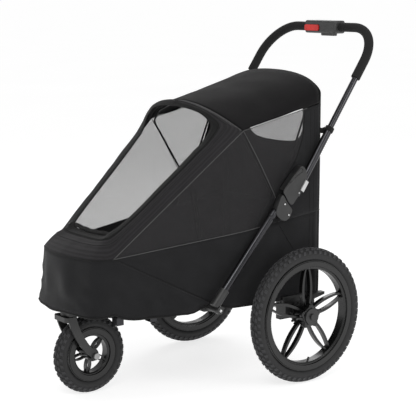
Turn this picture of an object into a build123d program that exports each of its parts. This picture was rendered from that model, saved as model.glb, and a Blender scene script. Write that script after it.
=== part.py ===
from build123d import *
import os
from math import cos, sin, radians, pi, hypot

# A three-wheeled jogging stroller for a pet: a folding tube frame, a fabric cabin with an arched canopy,
# two large rear wheels and one swivelling front wheel.
# Millimetres. +Z is up, -Y is the travel direction, +X is the stroller's left side.
# The origin is on the ground, at the middle of the stroller's length and width.

# ---------------------------------------------------------------- driving dimensions
REAR_R = 200.0            # rear wheel radius: a 16-inch wheel
FRONT_R = 113.6           # front wheel radius: a 9-inch wheel
WHEELBASE = 566.0
TRACK = 572.0             # between the middles of the rear tyres
REAR_TYRE_R = 22.6        # radius of the tyre's round section
FRONT_TYRE_R = 22.2
TYRE_WALL = 11.0          # the tyres are thick-walled foam rubber, open between their beads
BEAD_GAP = 26.0
SPOKES = 5                # pairs of spokes in each wheel
HANDLE_RISE = 1024.0      # height of the handle bar's centre line
HANDLE_REACH = 315.0      # handle bar behind the rear axle
GRIP_R = 14.0
CONSOLE_BACK = 18.0       # the console reaches this far behind the bar's centre line
TUBE_X = 247.0            # both side tubes of the frame stand this far from the middle
GAP = 0.4                 # clearance between pieces that move past each other

REAR_Y = (WHEELBASE + FRONT_R - HANDLE_REACH - CONSOLE_BACK) / 2
FRONT_Y = REAR_Y - WHEELBASE
WHEEL_X = TRACK / 2

# Hinge pivot of the folding handle, on both sides
HINGE_Y = REAR_Y - 60.0
HINGE_Z = 530.0
PIVOT_R = 40.0            # radius of the lower housing's round cheeks
HOUSING_X = (234.0, 260.0)

# Swivelling front fork
SWIVEL_Y = REAR_Y - 640.0
CROWN_Z = (222.0, 236.0)

# Cabin: plan outline and side outline
WALL_X = 230.0            # outside of the side walls at the rear
NOSE_X = 150.0            # outside of the side walls at the front corners
TAPER_Y = REAR_Y - 190.0  # the walls run straight behind this and taper in front of it
NOSE_Y = REAR_Y - 610.0
APRON_BULGE = 49.0        # the apron's middle in front of its corners
CLOTH = 3.0
BACK_Y = REAR_Y + 105.0
FLOOR_Z = 290.0
NOSE_Z = 410.0            # top of the apron
APRON_LOW_Z = 256.0
PANEL_LOW_Z = 238.0       # bottom edge of the cabin's cloth at the rear
PATCH_R = 58.0            # reinforced round patch of the side panel, behind the hinge
SHOULDER_Y = REAR_Y - 577.5  # the side piping and the apron's seam start here, behind the corner
SEAM_Z = 494.0            # top of the fixed lower cabin at the rear
EAVE_Z = 747.0            # where the front arch meets the side piping
REAR_EAVE_Z = 812.0
ARCH_RISE = 86.0          # the roof's crown over the eaves
FRONT_SQUARE = 2.0        # how square the roof's arch is: 2 is a parabola
REAR_SQUARE = 2.6
RIM_LOW_X, RIM_LOW = 103.0, (REAR_Y - 566.0, 477.0)    # lower corner of the front opening's rim
RIM_HIGH_X, RIM_HIGH = 167.0, (REAR_Y - 285.0, 724.0)  # upper corner of the rim

parts = {}
SIDES = (("left", 1), ("right", -1))


# ---------------------------------------------------------------- small tools
def rod(start, end, radius, bore=0.0):
    """A straight round bar between two points, or a tube if it has a bore."""
    run = Vector(*end) - Vector(*start)
    plane = Plane(origin=start, z_dir=run)
    solid = extrude(plane * Circle(radius), amount=run.length)
    if bore:
        solid -= extrude(plane * Circle(bore), amount=run.length)
    return solid


def bent(points, bends, radius, bore=0.0):
    """A round bar or tube along straight runs joined by tangent arcs."""
    path = FilletPolyline(*points, radius=bends)
    plane = Plane(origin=path @ 0, z_dir=path % 0)
    solid = sweep(plane * Circle(radius), path=path)
    if bore:
        solid -= sweep(plane * Circle(bore), path=path)
    return solid


def plate(outline, x_low, x_high):
    """A flat plate that stands lengthwise: an outline of (y, z) points between two x values."""
    face = make_face(Polyline(*outline, close=True))
    return extrude(Plane.YZ.offset(x_low) * face, amount=x_high - x_low)


def disc(y, z, radius, x_low, x_high):
    """A round plate or boss with its axis across the stroller."""
    return extrude(Plane.YZ.offset(x_low) * Pos(y, z) * Circle(radius), amount=x_high - x_low)


def block(low, high):
    """A box from its lowest corner to its highest corner."""
    size = [b - a for a, b in zip(low, high)]
    middle = [(a + b) / 2 for a, b in zip(low, high)]
    return Pos(*middle) * Box(*size)


def mirrored(solid):
    return mirror(solid, about=Plane.YZ)


def both(name, left):
    """Keeps a left-hand piece and its mirror image as two nodes."""
    parts[name + "_left"] = left
    parts[name + "_right"] = mirrored(left)


def pair(left):
    """A left-hand piece and its mirror image as two separate solids of one node."""
    return Compound(children=[left, mirrored(left)])


def hinge_point(dy, dz):
    return HINGE_Y + dy, HINGE_Z + dz


def along(start, angle, distance):
    """The (y, z) point at a distance from another, at an angle from straight back."""
    return start[0] + distance * cos(radians(angle)), start[1] + distance * sin(radians(angle))


# ---------------------------------------------------------------- wheels
def ring_about_x(profile, centre):
    """Turns a profile of (axial, radial) faces about the wheel's axle."""
    turned = revolve(Plane.XY * profile, axis=Axis.X)
    return Pos(*centre) * turned


def tyre(centre, wheel_r, section_r):
    """A hollow tyre that is open towards the rim, between its two beads."""
    middle = wheel_r - section_r
    ring = Pos(0, middle) * Circle(section_r) - Pos(0, middle) * Circle(section_r - TYRE_WALL)
    mouth = Pos(0, middle - section_r) * Rectangle(BEAD_GAP, section_r)
    return ring_about_x(ring - mouth, centre)


def rim(centre, wheel_r, section_r, opening_r, hub_r, bore_r, blade, turn):
    """A moulded wheel: a deep hoop with a tyre seat, and a hub with pairs of bowed spokes.

    The spokes bow out sideways by up to blade, and the first pair is turned from the top by turn degrees.
    """
    middle = wheel_r - section_r
    lip_r = middle - 0.5 * section_r
    half = 0.88 * section_r
    step = [
        (half - 7, opening_r), (half - 4, opening_r + 4), (half - 4, opening_r + 6.5),
        (half - 0.5, opening_r + 8), (half, lip_r - 5.5), (half - 1.8, lip_r - 4.5), (half - 1.8, lip_r),
    ]
    outline = step + [(-x, r) for x, r in reversed(step)]
    band = make_face(Polyline(*outline, close=True)) - Pos(0, middle) * Circle(section_r + 0.2)
    hoop = ring_about_x(band, (0, 0, 0))
    spider = extrude(Plane.YZ.offset(-22) * Circle(hub_r), amount=44)
    start, stop = 0.78 * hub_r, opening_r + 3
    for k in range(SPOKES):
        for bow in (-blade, blade):
            near = ThreePointArc((bow * 0.55, start), (bow * 1.0, 0.5 * (start + stop)), (bow * 0.38, stop))
            far = ThreePointArc((bow * 0.25, start), (bow * 0.58, 0.5 * (start + stop)), (bow * 0.14, stop))
            edge = [near, Line(near @ 1, far @ 1), far, Line(far @ 0, near @ 0)]
            leaf = extrude(Plane.YZ.offset(-7) * make_face(edge), amount=14)
            spider += Rot(X=turn + 360 * k / SPOKES) * leaf
    spider -= extrude(Plane.YZ.offset(-30) * Circle(bore_r), amount=60)
    return Pos(*centre) * Compound(children=[hoop, spider - hoop])


def rear_wheel(side, sign):
    centre = (sign * WHEEL_X, REAR_Y, REAR_R)
    parts["rear_tyre_" + side] = tyre(centre, REAR_R, REAR_TYRE_R)
    wheel = rim(
        centre, REAR_R, REAR_TYRE_R, opening_r=139.0, hub_r=27.0, bore_r=6.05, blade=19.0, turn=0)
    parts["rear_rim_" + side] = wheel
    inner = WHEEL_X - 22
    cog = disc(REAR_Y, REAR_R, 37.0, inner - 7.0, inner - 0.1)
    cog -= disc(REAR_Y, REAR_R, 6.1, inner - 8.0, inner)
    for k in range(16):
        notch = block((inner - 8, -5.0, 31.0), (inner + 1, 5.0, 40.0))
        cog -= Pos(0, REAR_Y, REAR_R) * Rot(X=22.5 * k) * notch
    cap = disc(REAR_Y, REAR_R, 24.0, WHEEL_X + 22.1, WHEEL_X + 31.0)
    cap -= disc(REAR_Y, REAR_R, 20.0, WHEEL_X + 22.1, WHEEL_X + 27.0)
    cap -= disc(REAR_Y, REAR_R, 9.0, WHEEL_X + 22.0, WHEEL_X + 32.0)
    button = disc(REAR_Y, REAR_R, 8.6, WHEEL_X + 25.0, WHEEL_X + 36.0)
    button += disc(REAR_Y, REAR_R, 5.0, WHEEL_X + 20.0, WHEEL_X + 25.0)
    if sign < 0:
        cog, cap, button = mirrored(cog), mirrored(cap), mirrored(button)
    parts["brake_cog_" + side] = cog
    parts["hub_cap_" + side] = cap
    parts["hub_button_" + side] = button


def rear_axle():
    """The cross rod, the two axle brackets with their stub axles, and the two brake levers."""
    parts["axle_rod"] = rod((-205, REAR_Y, REAR_R), (205, REAR_Y, REAR_R), 5.0)
    bracket = block((206, REAR_Y - 46, REAR_R - 20), (226, REAR_Y + 34, REAR_R + 64))
    bracket += block((177, REAR_Y - 30, REAR_R + 36), (206, REAR_Y + 24, REAR_R + 64))
    bracket += block((203, REAR_Y - 20, REAR_R + 64), (226, REAR_Y + 14, REAR_R + 85))
    bracket += block((226, REAR_Y - 46, REAR_R - 14), (238, REAR_Y + 34, REAR_R + 28))
    bracket += block((231, REAR_Y - 46, REAR_R + 6), (238, REAR_Y + 56, REAR_R + 50))
    bracket += block((238, REAR_Y - 46, REAR_R - 12), (250, REAR_Y - 22, REAR_R + 34))
    bracket += disc(REAR_Y, REAR_R, 15.0, 238, 250)
    bracket -= disc(REAR_Y, REAR_R, 6.05, 200, 260)
    bracket -= RAIL
    bracket -= rod(REAR_LEG[0], REAR_LEG[1], 9.05)
    both("axle_bracket", bracket)
    parts["stub_axles"] = pair(disc(REAR_Y, REAR_R, 6.0, 207, WHEEL_X + 16))
    y, z = BRAKE_PIVOT
    cog_side = WHEEL_X - 23
    lever = disc(y, z, 9.0, 238.5, cog_side)
    nose = [
        (y - 3, z), (y + 7, z), (y + 9, z - 36), (y + 1, z - 44), (y - 6.2, z - 43), (y - 6.2, z - 38.6),
        (y - 2.2, z - 36),
    ]
    lever += plate(nose, WHEEL_X - 28.5, cog_side)
    pad = [(y, z - 8), (y + 52, z + 4), (y + 52, z + 12), (y, z + 9)]
    lever += plate(pad, 238.5, WHEEL_X - 28.5)
    both("brake_lever", lever)


# ---------------------------------------------------------------- front fork
LOCK_X = 27.0             # the swivel lock pin stands beside the steering head


def upright(x, y, z_low, z_high, radius):
    """A vertical cylinder."""
    base = Cylinder(radius, z_high - z_low, align=(Align.CENTER, Align.CENTER, Align.MIN))
    return Pos(x, y, z_low) * base


def front_wheel():
    centre = (0, FRONT_Y, FRONT_R)
    parts["front_tyre"] = tyre(centre, FRONT_R, FRONT_TYRE_R)
    parts["front_rim"] = rim(
        centre, FRONT_R, FRONT_TYRE_R, opening_r=53.0, hub_r=19.0, bore_r=8.0, blade=8.5, turn=27)
    races = []
    for x in (-21.9, 13.9):
        races.append(disc(FRONT_Y, FRONT_R, 7.95, x, x + 8) - disc(FRONT_Y, FRONT_R, 5.05, x, x + 8))
    parts["front_bearings"] = Compound(children=races)
    axle = disc(FRONT_Y, FRONT_R, 5.0, -45, 45)
    for x in (-45, 38.2):
        axle += disc(FRONT_Y, FRONT_R, 9.0, x, x + 6.8)
    parts["front_axle"] = axle


def front_fork():
    """A crown over the wheel and two flat blades that curve down and back to the axle."""
    crown = block((-37, SWIVEL_Y - 20, CROWN_Z[0]), (37, SWIVEL_Y + 20, CROWN_Z[1]))
    crown = fillet(crown.edges().filter_by(Axis.Z), 12)
    crown += upright(0, SWIVEL_Y, CROWN_Z[1], CROWN_Z[1] + 44, 9.0)
    top = CROWN_Z[1] - 1
    front = ThreePointArc((SWIVEL_Y - 13, top), (SWIVEL_Y + 13, 168), (FRONT_Y - 12, FRONT_R - 3))
    heel = ThreePointArc(front @ 1, (FRONT_Y, FRONT_R - 13), (FRONT_Y + 12, FRONT_R + 2))
    back = ThreePointArc(heel @ 1, (SWIVEL_Y + 35, 178), (SWIVEL_Y + 13, top))
    outline = make_face([front, heel, back, Line(back @ 1, front @ 0)])
    blade = extrude(Plane.YZ.offset(31) * outline, amount=6)
    fork = crown + blade + mirrored(blade)
    fork -= disc(FRONT_Y, FRONT_R, 5.05, -60, 60)
    fork -= upright(LOCK_X, SWIVEL_Y, 200, 300, 3.4)
    parts["fork"] = fork


def steering_head():
    """The socket for the fork's stem, its bushing, and the pin that locks the swivel."""
    low = CROWN_Z[1] + 1
    head = upright(0, SWIVEL_Y, low, low + 42, 14.5)
    head += block((0, SWIVEL_Y - 9, low + 1), (36, SWIVEL_Y + 9, low + 15))
    head += block((-34, SWIVEL_Y + 8, low + 1), (34, SWIVEL_Y + 62, low + 25))
    head -= upright(0, SWIVEL_Y, low - 1, low + 60, 12.05)
    head -= upright(LOCK_X, SWIVEL_Y, low - 1, low + 60, 3.4)
    head -= RAIL
    head -= mirrored(RAIL)
    parts["steering_head"] = head
    bushing = upright(0, SWIVEL_Y, low + 2, low + 40, 12.0) - upright(0, SWIVEL_Y, low, low + 50, 9.05)
    parts["swivel_bushing"] = bushing
    pin = upright(LOCK_X, SWIVEL_Y, low + 3, low + 30, 3.0)
    pin += upright(LOCK_X, SWIVEL_Y, low + 24, low + 33, 8.0)
    parts["swivel_lock_pin"] = pin


# ---------------------------------------------------------------- chassis and legs
RAIL_Z = 250.0
RAIL_R = 10.0
RAIL_ROUTE = [
    (24, SWIVEL_Y + 40, RAIL_Z), (125, SWIVEL_Y + 72, RAIL_Z), (165, REAR_Y - 440, RAIL_Z),
    (190, REAR_Y - 300, RAIL_Z), (190, REAR_Y + 20, RAIL_Z),
]
RAIL_BENDS = [60, 70, 90]
RAIL = bent(RAIL_ROUTE, RAIL_BENDS, RAIL_R)
BRAKE_PIVOT = (REAR_Y + 46.0, REAR_R + 40.0)
REAR_LEG = ((214, REAR_Y - 5, REAR_R + 66), (214, REAR_Y - 45, 497 + 12))
LEG_LOW = (REAR_Y - 289.0, 277.0)
LEG_ANGLE = 49.2
LEG_LENGTH = 293.0
LEG_R = 11.0
REAR_BOLT = (15.0, -33.0)   # second hinge bolt, from the pivot


def leg_point(distance):
    y, z = along(LEG_LOW, LEG_ANGLE, distance)
    return TUBE_X, y, z


def chassis():
    rail = bent(RAIL_ROUTE, RAIL_BENDS, RAIL_R, RAIL_R - 1.6)
    for y in (REAR_Y - 555, REAR_Y - 456):
        x = 140 if y < REAR_Y - 500 else 156
        foot = block((x - 14, y - 11, RAIL_Z - 26), (x + 12, y + 11, RAIL_Z - 4))
        rail += foot - RAIL
    both("side_rail", rail)
    both("front_leg", rod(leg_point(0), leg_point(LEG_LENGTH), LEG_R, 9.3))
    leg = rod(REAR_LEG[0], REAR_LEG[1], 9.0, 7.4)
    leg -= disc(*hinge_point(*REAR_BOLT), 4.05, 195, 230)
    both("rear_leg", leg)
    y = REAR_Y - 294
    connector = rod(leg_point(-22), leg_point(34), 14.0) - rod(leg_point(-1), leg_point(40), LEG_R)
    connector += disc(y, RAIL_Z, 9.0, 203, 250)
    connector += block((176, y - 13, RAIL_Z - 13), (204, y + 13, RAIL_Z + 13))
    connector += disc(y, RAIL_Z, 11.0, 250, 264)
    connector -= rod(leg_point(-1), leg_point(40), LEG_R)
    connector -= RAIL
    parts["leg_connectors"] = pair(connector)


# ---------------------------------------------------------------- folding hinge
TONGUE_X = (239.0, 255.0)
# Side outlines of the two housings, from the pivot as (back, up)
UPPER_OUTLINE = [
    (-2, 42), (6, 64), (30, 91), (66, 107), (90, 98), (101, 76), (90, 56), (58, 6), (50, -10), (30, 0),
    (0, 30),
]
LOWER_OUTLINE = [
    (-40, 0), (-37, -24), (-24, -45), (0, -58), (22, -58), (34, -42), (40, -8), (30, 10), (-20, 20),
]
ARM_ANGLE = 55.57
BAR = (REAR_Y + HANDLE_REACH, HANDLE_RISE)
BAR_BEND = 115.0
ARM_TUBE_R = 11.0
BAR_R = 9.0
GRIP_END = 174.6          # distances down the arm from the bar's corner
JOINT_END = 345.0
TUBE_END = 575.0
SLIDER_X = (260.4, 267.0)


def arm_point(distance, x=TUBE_X):
    """A point on the handle's arm, at a distance down from the level of its bar."""
    y, z = along(BAR, ARM_ANGLE, -distance)
    return x, y, z


def shaped(outline, x_low, x_high):
    """A plate whose outline is given from the hinge pivot."""
    return plate([hinge_point(*p) for p in outline], x_low, x_high)


def hinges():
    arm = rod(arm_point(TUBE_END), arm_point(JOINT_END), ARM_TUBE_R, 9.3)
    both("handle_tube", arm)
    upper = shaped(UPPER_OUTLINE, *HOUSING_X) - disc(HINGE_Y, HINGE_Z, PIVOT_R + 0.6, 200, 300)
    tongue = shaped([(-16, 4), (-2, 42), (50, -8), (10, -17)], *TONGUE_X)
    tongue += disc(HINGE_Y, HINGE_Z, 20, *TONGUE_X)
    tongue &= disc(HINGE_Y, HINGE_Z, PIVOT_R + 1.0, 200, 300)
    upper += tongue
    low, high = arm_point(TUBE_END - 4), arm_point(TUBE_END - 70)
    for side in (-9.5, 9.5):
        dy, dz = -side * sin(radians(ARM_ANGLE)), side * cos(radians(ARM_ANGLE))
        ends = [(260.0 + 1.5, p[1] + dy, p[2] + dz) for p in (low, high)]
        upper += rod(ends[0], ends[1], 1.9)
    upper -= rod(arm_point(TUBE_END + 0.2), arm_point(TUBE_END - 160), ARM_TUBE_R + 0.02)
    upper -= disc(HINGE_Y, HINGE_Z, 5.06, 200, 300)
    both("upper_housing", upper)
    slider = rod(
        arm_point(TUBE_END - 16, SLIDER_X[0] + 3.2), arm_point(TUBE_END - 50, SLIDER_X[0] + 3.2), 6.6)
    slider &= block((SLIDER_X[0], HINGE_Y - 50, HINGE_Z - 50), (SLIDER_X[1], HINGE_Y + 150, HINGE_Z + 150))
    both("lock_slider", slider)
    lower = shaped(LOWER_OUTLINE, *HOUSING_X) + disc(HINGE_Y, HINGE_Z, PIVOT_R, *HOUSING_X)
    lower -= disc(HINGE_Y, HINGE_Z, PIVOT_R + 1.6, TONGUE_X[0] - 0.5, TONGUE_X[1] + 0.5)
    socket = rod(leg_point(LEG_LENGTH - 42), leg_point(LEG_LENGTH + 3), 14.5)
    socket -= disc(HINGE_Y, HINGE_Z, PIVOT_R + 1.6, 200, 300)
    lower += socket
    lower -= rod(leg_point(LEG_LENGTH - 80), leg_point(LEG_LENGTH + 0.2), LEG_R + 0.02)
    lower -= disc(HINGE_Y, HINGE_Z, 5.04, 200, 300)
    lower -= disc(*hinge_point(*REAR_BOLT), 4.04, 200, 300)
    both("lower_housing", lower)
    pivot = disc(HINGE_Y, HINGE_Z, 5.0, 207, 263.5) + disc(HINGE_Y, HINGE_Z, 8.0, 260.1, 263.5)
    pivot += disc(HINGE_Y, HINGE_Z, 8.0, 206, 210.5)
    bolt = disc(*hinge_point(*REAR_BOLT), 4.0, 202, 263.5)
    bolt += disc(*hinge_point(*REAR_BOLT), 7.0, 260.1, 263.5)
    parts["hinge_bolts"] = Compound(children=[pivot, bolt, mirrored(pivot), mirrored(bolt)])


# ---------------------------------------------------------------- handle
CONSOLE_X = 72.0


def handle():
    start, corner = arm_point(JOINT_END + 62), (TUBE_X, *BAR)
    far_corner, far_start = (-TUBE_X, *BAR), arm_point(JOINT_END + 62, -TUBE_X)
    parts["handle_bar"] = bent([start, corner, far_corner, far_start], BAR_BEND, BAR_R, 7.4)
    grip = bent([(CONSOLE_X + 0.4, *BAR), corner, arm_point(GRIP_END)], BAR_BEND, GRIP_R, BAR_R + 0.05)
    both("foam_grip", grip)
    cable = bent([(8, *BAR), corner, arm_point(TUBE_END - 6)], BAR_BEND, 1.2)
    parts["release_cables"] = pair(cable)
    y, z = BAR
    shell = block((-CONSOLE_X, y - 26, z - 20), (CONSOLE_X, y + CONSOLE_BACK, z + 20))
    shell = fillet(shell.edges(), 7)
    shell -= rod((-90, y, z), (90, y, z), BAR_R + 0.05)
    shell -= block((-70, y - 30, z - 13), (-2, y - 19.4, z + 7))
    shell -= block((2, y - 22, z - 24), (66, y - 10.4, z - 9.4))
    parts["console_top"] = shell & block((-90, y - 60, z + 0.05), (90, y + 60, z + 60))
    parts["console_bottom"] = shell & block((-90, y - 60, z - 60), (90, y + 60, z - 0.05))
    button = fillet(block((-69, y - 29, z - 12.4), (-3, y - 24, z + 6.4)).edges().filter_by(Axis.Y), 6)
    parts["release_button"] = button
    trigger = fillet(block((2.6, y - 21.4, z - 27), (65.4, y - 11, z - 15)).edges().filter_by(Axis.Y), 4)
    parts["squeeze_trigger"] = trigger


# ---------------------------------------------------------------- canopy bows
FRONT_BOW_ANGLE = 122.0
REAR_BOW_ANGLE = 68.0
BOW_R = 2.9


def bow(angle, x, outline):
    """A bent rod on two pivot eyes; the outline is (x, distance from the pivot axis) for one half."""
    full = [(x, 8.0)] + outline + [(-px, r) for px, r in reversed(outline)] + [(-x, 8.0)]
    points = [(px, *along((HINGE_Y, HINGE_Z), angle, r)) for px, r in full]
    solid = bent(points, [30] + [40] * (len(full) - 4) + [30], BOW_R)
    for sign in (-1, 1):
        low, high = sorted((sign * (x - 3.3), sign * (x + 3.3)))
        solid += disc(HINGE_Y, HINGE_Z, 12.0, low, high)
    solid -= disc(HINGE_Y, HINGE_Z, 5.06, -250, 250)
    return solid


def bows():
    parts["front_bow"] = bow(FRONT_BOW_ANGLE, 214.5, [(217, 246), (150, 294), (55, 329)])
    parts["rear_bow"] = bow(REAR_BOW_ANGLE, 223.0, [(222, 300), (196, 346), (140, 374), (60, 384)])


# ---------------------------------------------------------------- cabin
def wall_x(y):
    """The outside of the side walls at a given y."""
    if y > TAPER_Y:
        return WALL_X
    return NOSE_X + (WALL_X - NOSE_X) * (y - NOSE_Y) / (TAPER_Y - NOSE_Y)


def plan_face(inset, front, back):
    """The cabin's plan between two y values, set in from the walls."""
    half = [(wall_x(front) - inset, front), (wall_x(TAPER_Y) - inset, TAPER_Y), (wall_x(back) - inset, back)]
    return make_face(Polyline(*half, *[(-x, y) for x, y in reversed(half)], close=True))


def wall(outline):
    """A side wall: the tapered plan strip cut to an outline of (y, z) points."""
    outer = [(NOSE_X, NOSE_Y), (WALL_X, TAPER_Y), (WALL_X, BACK_Y)]
    inner = [(x - CLOTH, y) for x, y in reversed(outer)]
    strip = extrude(make_face(Polyline(*outer, *inner, close=True)), amount=1000)
    return strip & plate(outline, 100, 300)


def seam_z(y):
    """The seam between the fixed lower cabin and the cloth that folds away."""
    return NOSE_Z + (SEAM_Z - NOSE_Z) * (y - NOSE_Y) / (BACK_Y - NOSE_Y)


def cabin():
    lower_edge = [
        (BACK_Y, PANEL_LOW_Z), (REAR_Y + 60, PANEL_LOW_Z), (REAR_Y - 245, 246), (REAR_Y - 278, 264),
        (REAR_Y - 312, 264),
        (REAR_Y - 345, 240), (REAR_Y - 470, 236), (NOSE_Y, 250),
    ]
    seam = [(NOSE_Y, seam_z(NOSE_Y)), (BACK_Y, seam_z(BACK_Y))]
    patch = disc(HINGE_Y, HINGE_Z, PATCH_R, WALL_X - CLOTH, WALL_X)
    holes = disc(HINGE_Y, HINGE_Z, 5.4, 200, 300) + disc(*hinge_point(*REAR_BOLT), 4.4, 200, 300)
    both("side_panel", wall(lower_edge + seam) + patch - holes)
    upper = [
        (SHOULDER_Y, seam_z(SHOULDER_Y) + GAP), (TAPER_Y, EAVE_Z), (BACK_Y, REAR_EAVE_Z),
        (BACK_Y, seam_z(BACK_Y) + GAP),
    ]
    both("upper_side", wall(upper) - disc(HINGE_Y, HINGE_Z, PATCH_R + GAP, 200, 300))
    back_x = WALL_X - CLOTH - GAP
    back = block((-back_x, BACK_Y - CLOTH, PANEL_LOW_Z), (back_x, BACK_Y, SEAM_Z))
    parts["rear_panel"] = back
    # Apron: a curved front between the two nose corners
    end_x, end_y, middle_y = NOSE_X - 0.2, NOSE_Y - 0.4, NOSE_Y - APRON_BULGE
    outer = ThreePointArc((end_x, end_y), (0, middle_y), (-end_x, end_y))
    inner = ThreePointArc((end_x - CLOTH, end_y), (0, middle_y + CLOTH), (CLOTH - end_x, end_y))
    band = make_face([outer, Line(outer @ 1, inner @ 1), inner, Line(inner @ 0, outer @ 0)])
    parts["apron"] = Pos(0, 0, APRON_LOW_Z) * extrude(band, amount=NOSE_Z - APRON_LOW_Z)
    front_band()
    canopy()
    board = extrude(plan_face(30, NOSE_Y + 10, BACK_Y - 12), amount=4)
    parts["floor_board"] = Pos(0, 0, FLOOR_Z) * board
    pad = extrude(plan_face(36, NOSE_Y + 20, BACK_Y - 18), amount=32)
    parts["cushion"] = Pos(0, 0, FLOOR_Z + 4.4) * fillet(pad.edges().filter_by(Axis.Z), 14)


def sheet(corners, inward):
    """A sheet over corners given in order round it, as thick as the cloth towards inward."""
    first, *rest = [Vector(*corner) for corner in corners]
    solids = []
    for b, c in zip(rest, rest[1:]):
        solids.append(extrude(make_face(Polyline(first, b, c, close=True)), amount=CLOTH, dir=inward))
    return sum(solids[1:], solids[0])


def front_band():
    """The cloth round the open front: it rises from the side piping to the rim of the opening."""
    nose, shoulder = (NOSE_Y + 1, NOSE_Z + 1), (SHOULDER_Y, seam_z(SHOULDER_Y) + 1)
    low_x, shoulder_x, high_x = [wall_x(y) - 3.8 for y in (NOSE_Y, SHOULDER_Y, TAPER_Y)]
    side = sheet(
        ((RIM_LOW_X, *RIM_LOW), (RIM_HIGH_X, *RIM_HIGH), (high_x, TAPER_Y - 6, EAVE_Z - 4),
         (shoulder_x, *shoulder), (low_x, *nose)),
        (-0.6, 0, -0.8))
    sill = sheet(
        ((-low_x, *nose), (-RIM_LOW_X, *RIM_LOW), (RIM_LOW_X, *RIM_LOW), (low_x, *nose)),
        (0, 0.84, -0.54))
    parts["front_band"] = side + mirrored(side) + sill


def arch_line(width, rise, square, lift):
    """Points (x, height) over an arch: a parabola, or a squarer curve when square is over 2."""
    points = []
    for k in range(13):
        u = cos(pi * k / 12)
        height = rise * (1 - abs(u) ** square) ** (1 if square == 2 else 1 / square)
        points.append((width * u, lift + height))
    return points


def arch(width, rise, square, lift):
    """A closed arch section in its own plane, as thick as the cloth."""
    top = Spline(*arch_line(width, rise, square, lift))
    under = Spline(*arch_line(width - CLOTH, rise - CLOTH, square, lift))
    return make_face([top, Line(top @ 1, under @ 1), under, Line(under @ 0, top @ 0)])


def canopy():
    """The roof cloth from the front bow's arch back to the upright rear wall."""
    lift = (EAVE_Z - HINGE_Z) / sin(radians(FRONT_BOW_ANGLE))
    up = (0, cos(radians(FRONT_BOW_ANGLE)), sin(radians(FRONT_BOW_ANGLE)))
    normal = Vector(1, 0, 0).cross(Vector(*up))
    front_plane = Plane(origin=(0, HINGE_Y, HINGE_Z), x_dir=(1, 0, 0), z_dir=normal)
    front = front_plane * arch(WALL_X, ARCH_RISE, FRONT_SQUARE, lift + 2)
    back_plane = Plane(origin=(0, BACK_Y, 0), x_dir=(1, 0, 0), z_dir=(0, -1, 0))
    back = back_plane * arch(WALL_X, ARCH_RISE, REAR_SQUARE, REAR_EAVE_Z + 2)
    roof = loft([front, back], ruled=True)
    back_x = WALL_X - CLOTH - GAP
    wall_outline = [(back_x, SEAM_Z + GAP), (back_x, REAR_EAVE_Z + 2)]
    half = wall_outline + [(-x, z) for x, z in reversed(wall_outline)]
    lower = extrude(back_plane * make_face(Polyline(*half, close=True)), amount=CLOTH)
    crown = [(0.985 * x, z - 1) for x, z in arch_line(WALL_X, ARCH_RISE, REAR_SQUARE, REAR_EAVE_Z + 2)]
    gable = make_face(Polyline(*crown, close=True))
    parts["canopy"] = roof + lower + extrude(back_plane * gable, amount=CLOTH)


# ---------------------------------------------------------------- write the parts
for side, sign in SIDES:
    rear_wheel(side, sign)
rear_axle()
front_wheel()
front_fork()
steering_head()
chassis()
hinges()
handle()
bows()
cabin()

os.makedirs("parts", exist_ok=True)
for name, solid in parts.items():
    export_step(solid, f"parts/{name}.step")
print(len(parts), "parts")
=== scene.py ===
"""The looks of a three-wheeled pet stroller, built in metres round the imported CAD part."""
from math import copysign, cos, pi, radians, sin, tau

import bmesh
import bpy
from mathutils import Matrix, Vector, noise


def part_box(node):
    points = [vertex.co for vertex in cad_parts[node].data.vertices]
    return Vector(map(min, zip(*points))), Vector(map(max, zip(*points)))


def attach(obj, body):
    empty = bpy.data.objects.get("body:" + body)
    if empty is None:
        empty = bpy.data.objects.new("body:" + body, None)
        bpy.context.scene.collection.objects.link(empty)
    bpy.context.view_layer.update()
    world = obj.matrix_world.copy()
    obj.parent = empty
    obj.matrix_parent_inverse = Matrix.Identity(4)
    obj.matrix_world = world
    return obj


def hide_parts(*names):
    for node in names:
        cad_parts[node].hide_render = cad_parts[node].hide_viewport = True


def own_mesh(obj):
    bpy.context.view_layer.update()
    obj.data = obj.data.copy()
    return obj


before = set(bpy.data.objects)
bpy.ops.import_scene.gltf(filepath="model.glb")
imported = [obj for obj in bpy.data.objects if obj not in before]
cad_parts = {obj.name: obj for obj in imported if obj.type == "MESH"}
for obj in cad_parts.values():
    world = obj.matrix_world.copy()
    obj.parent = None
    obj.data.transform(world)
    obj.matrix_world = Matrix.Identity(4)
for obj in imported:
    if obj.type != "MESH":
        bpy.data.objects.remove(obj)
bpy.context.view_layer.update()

# ---- the cabin's outline
WALL_X, NOSE_X = 0.23, 0.15
TAPER_Y, NOSE_Y, BACK_Y = -0.0167, -0.4367, 0.2783
NOSE_Z, SEAM_Z, EAVE_Z, REAR_EAVE_Z = 0.41, 0.494, 0.747, 0.812
SHOULDER_Y, SHOULDER_Z = -0.4042, 0.4143     # where the side piping and the apron's seam start
HINGE_Y, HINGE_Z = 0.1133, 0.53
HEM_Z, REAR_HEM_Z = 0.243, 0.2385
TUBE_X = 0.247                               # the frame's side tubes
ARM_WAY = Vector((0, 0.5655, 0.8247))        # up along the handle's arms
CONNECTOR = (-0.1147, 0.261)                 # where the front leg meets the side rail, as (y, z)
CLOTH_THICK = 0.0014
SIDES = (("left", 1), ("right", -1))


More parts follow.
